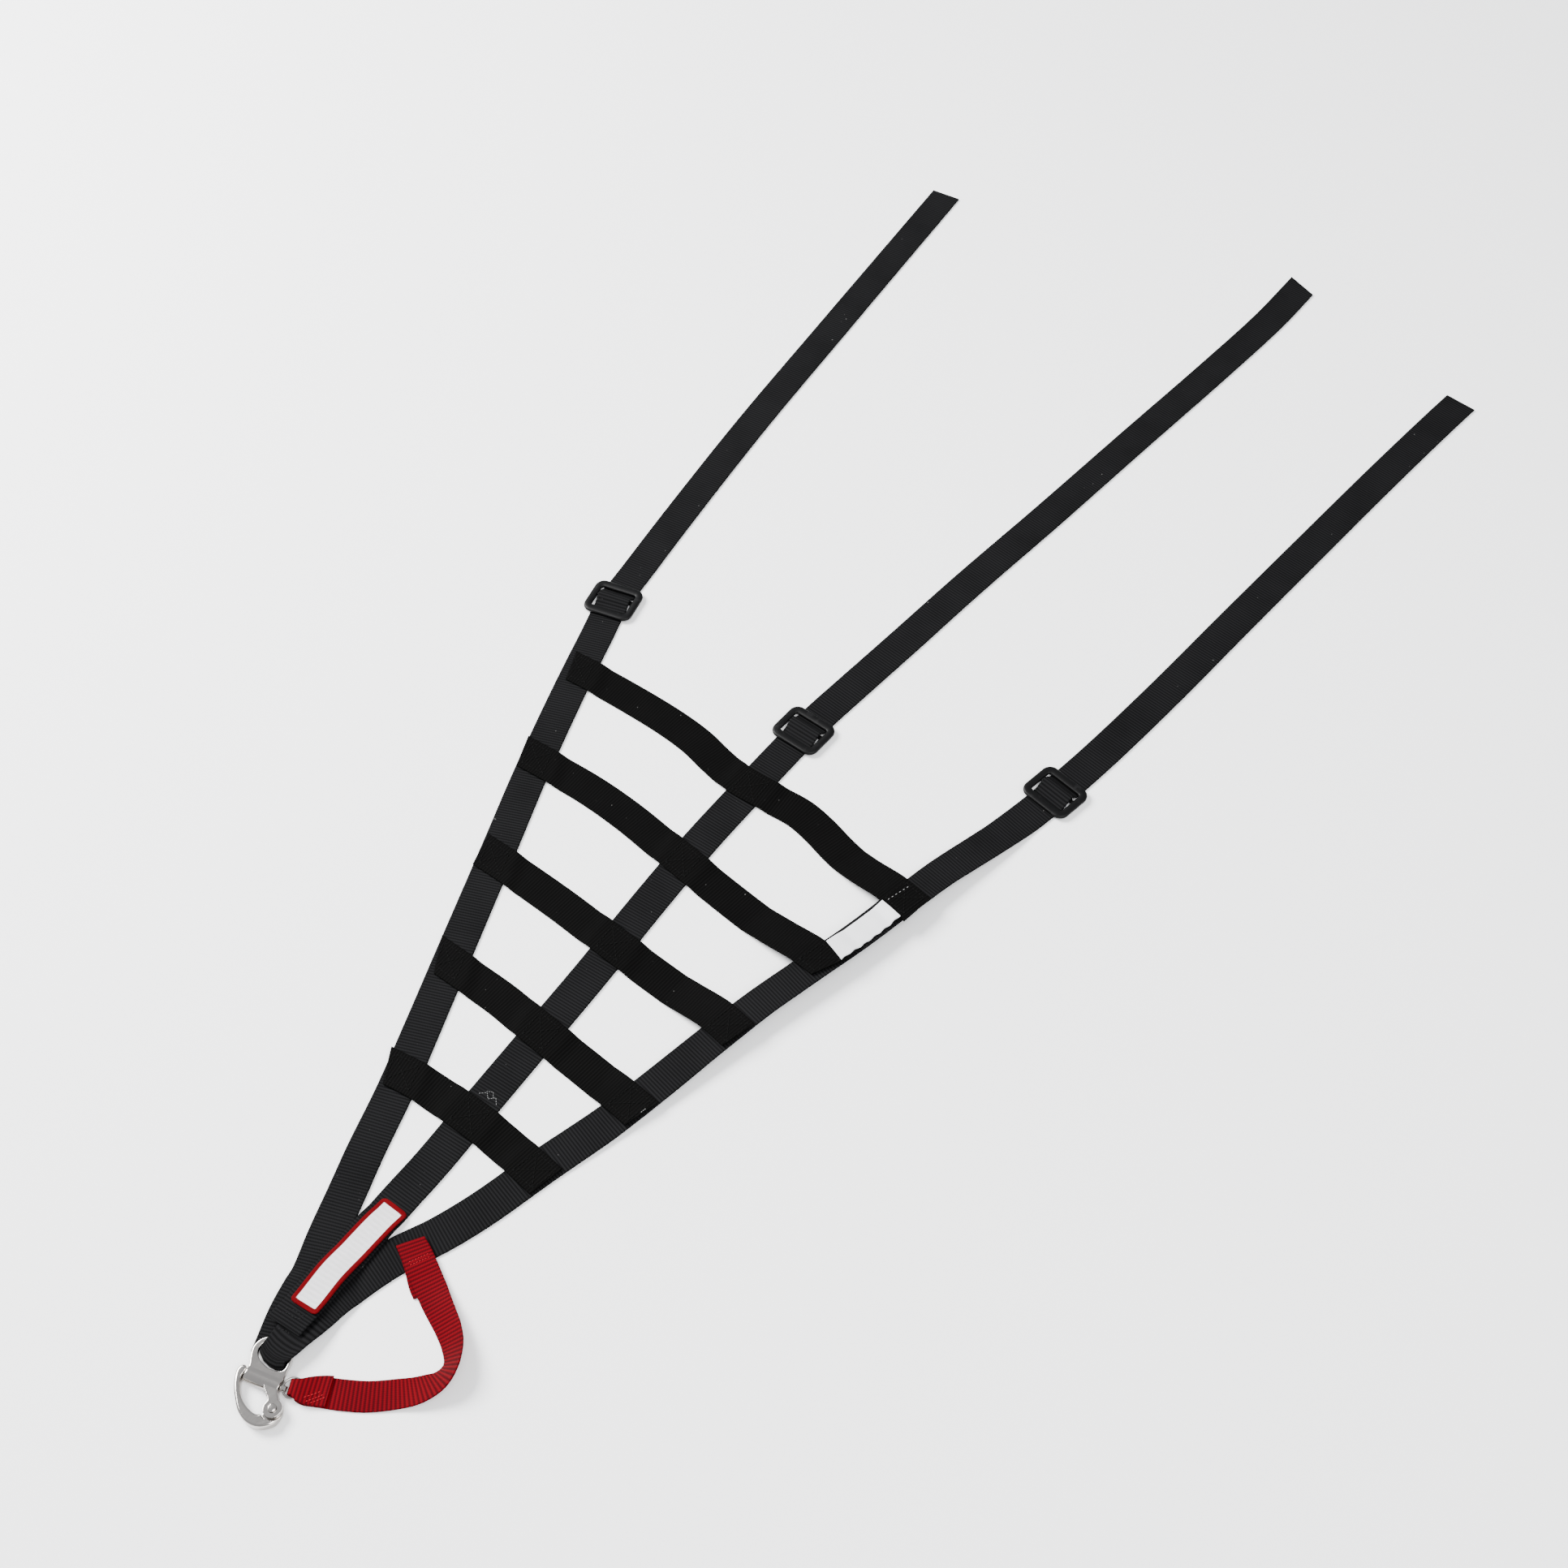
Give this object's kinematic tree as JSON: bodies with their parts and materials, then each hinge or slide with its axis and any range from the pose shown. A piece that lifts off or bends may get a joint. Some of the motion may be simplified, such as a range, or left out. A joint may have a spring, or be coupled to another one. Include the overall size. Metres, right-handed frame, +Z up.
{
  "type": "racing net",
  "caption": "Flat webbing window net for a racing car: long straps joined by cross straps, meeting at a quick-release snap shackle with a red pull tether.",
  "frame": {"origin": "on the surface that the net lies on, under the centre of its bounding box", "axes": "+Y from the shackle to the free ends of the long straps, +X to the right seen from above, +Z up"},
  "size_m": [0.4988, 1.1996, 0.0149],
  "materials": {
    "webbing": "black woven webbing with cross ribs",
    "red_webbing": "red woven webbing with cross ribs",
    "patch": "white embroidery with a red border",
    "label": "white satin tape",
    "slider": "black, slightly glossy",
    "steel": "polished stainless steel"
  },
  "bodies": {
    "net": {"strap_left": "webbing", "strap_middle": "webbing", "strap_right": "webbing", "cross_strap_1": "webbing", "cross_strap_2": "webbing", "cross_strap_3": "webbing", "cross_strap_4": "webbing", "cross_strap_5": "webbing", "patch": "patch", "label": "label", "slider_left": "slider", "slider_middle": "slider", "slider_right": "slider", "tether": "red_webbing", "shackle_body": "steel", "shackle_rivet": "steel", "shackle_plunger": "steel", "shackle_ring": "steel"},
    "gate": {"shackle_arm": "steel"}
  },
  "joints": [
    {"name": "gate_swing", "type": "hinge", "parent": "net", "child": "gate", "pos_m": [0.06931, -0.58489, 0.0037], "axis": [0, 0, 1], "range_deg": [0, 110]}
  ]
}
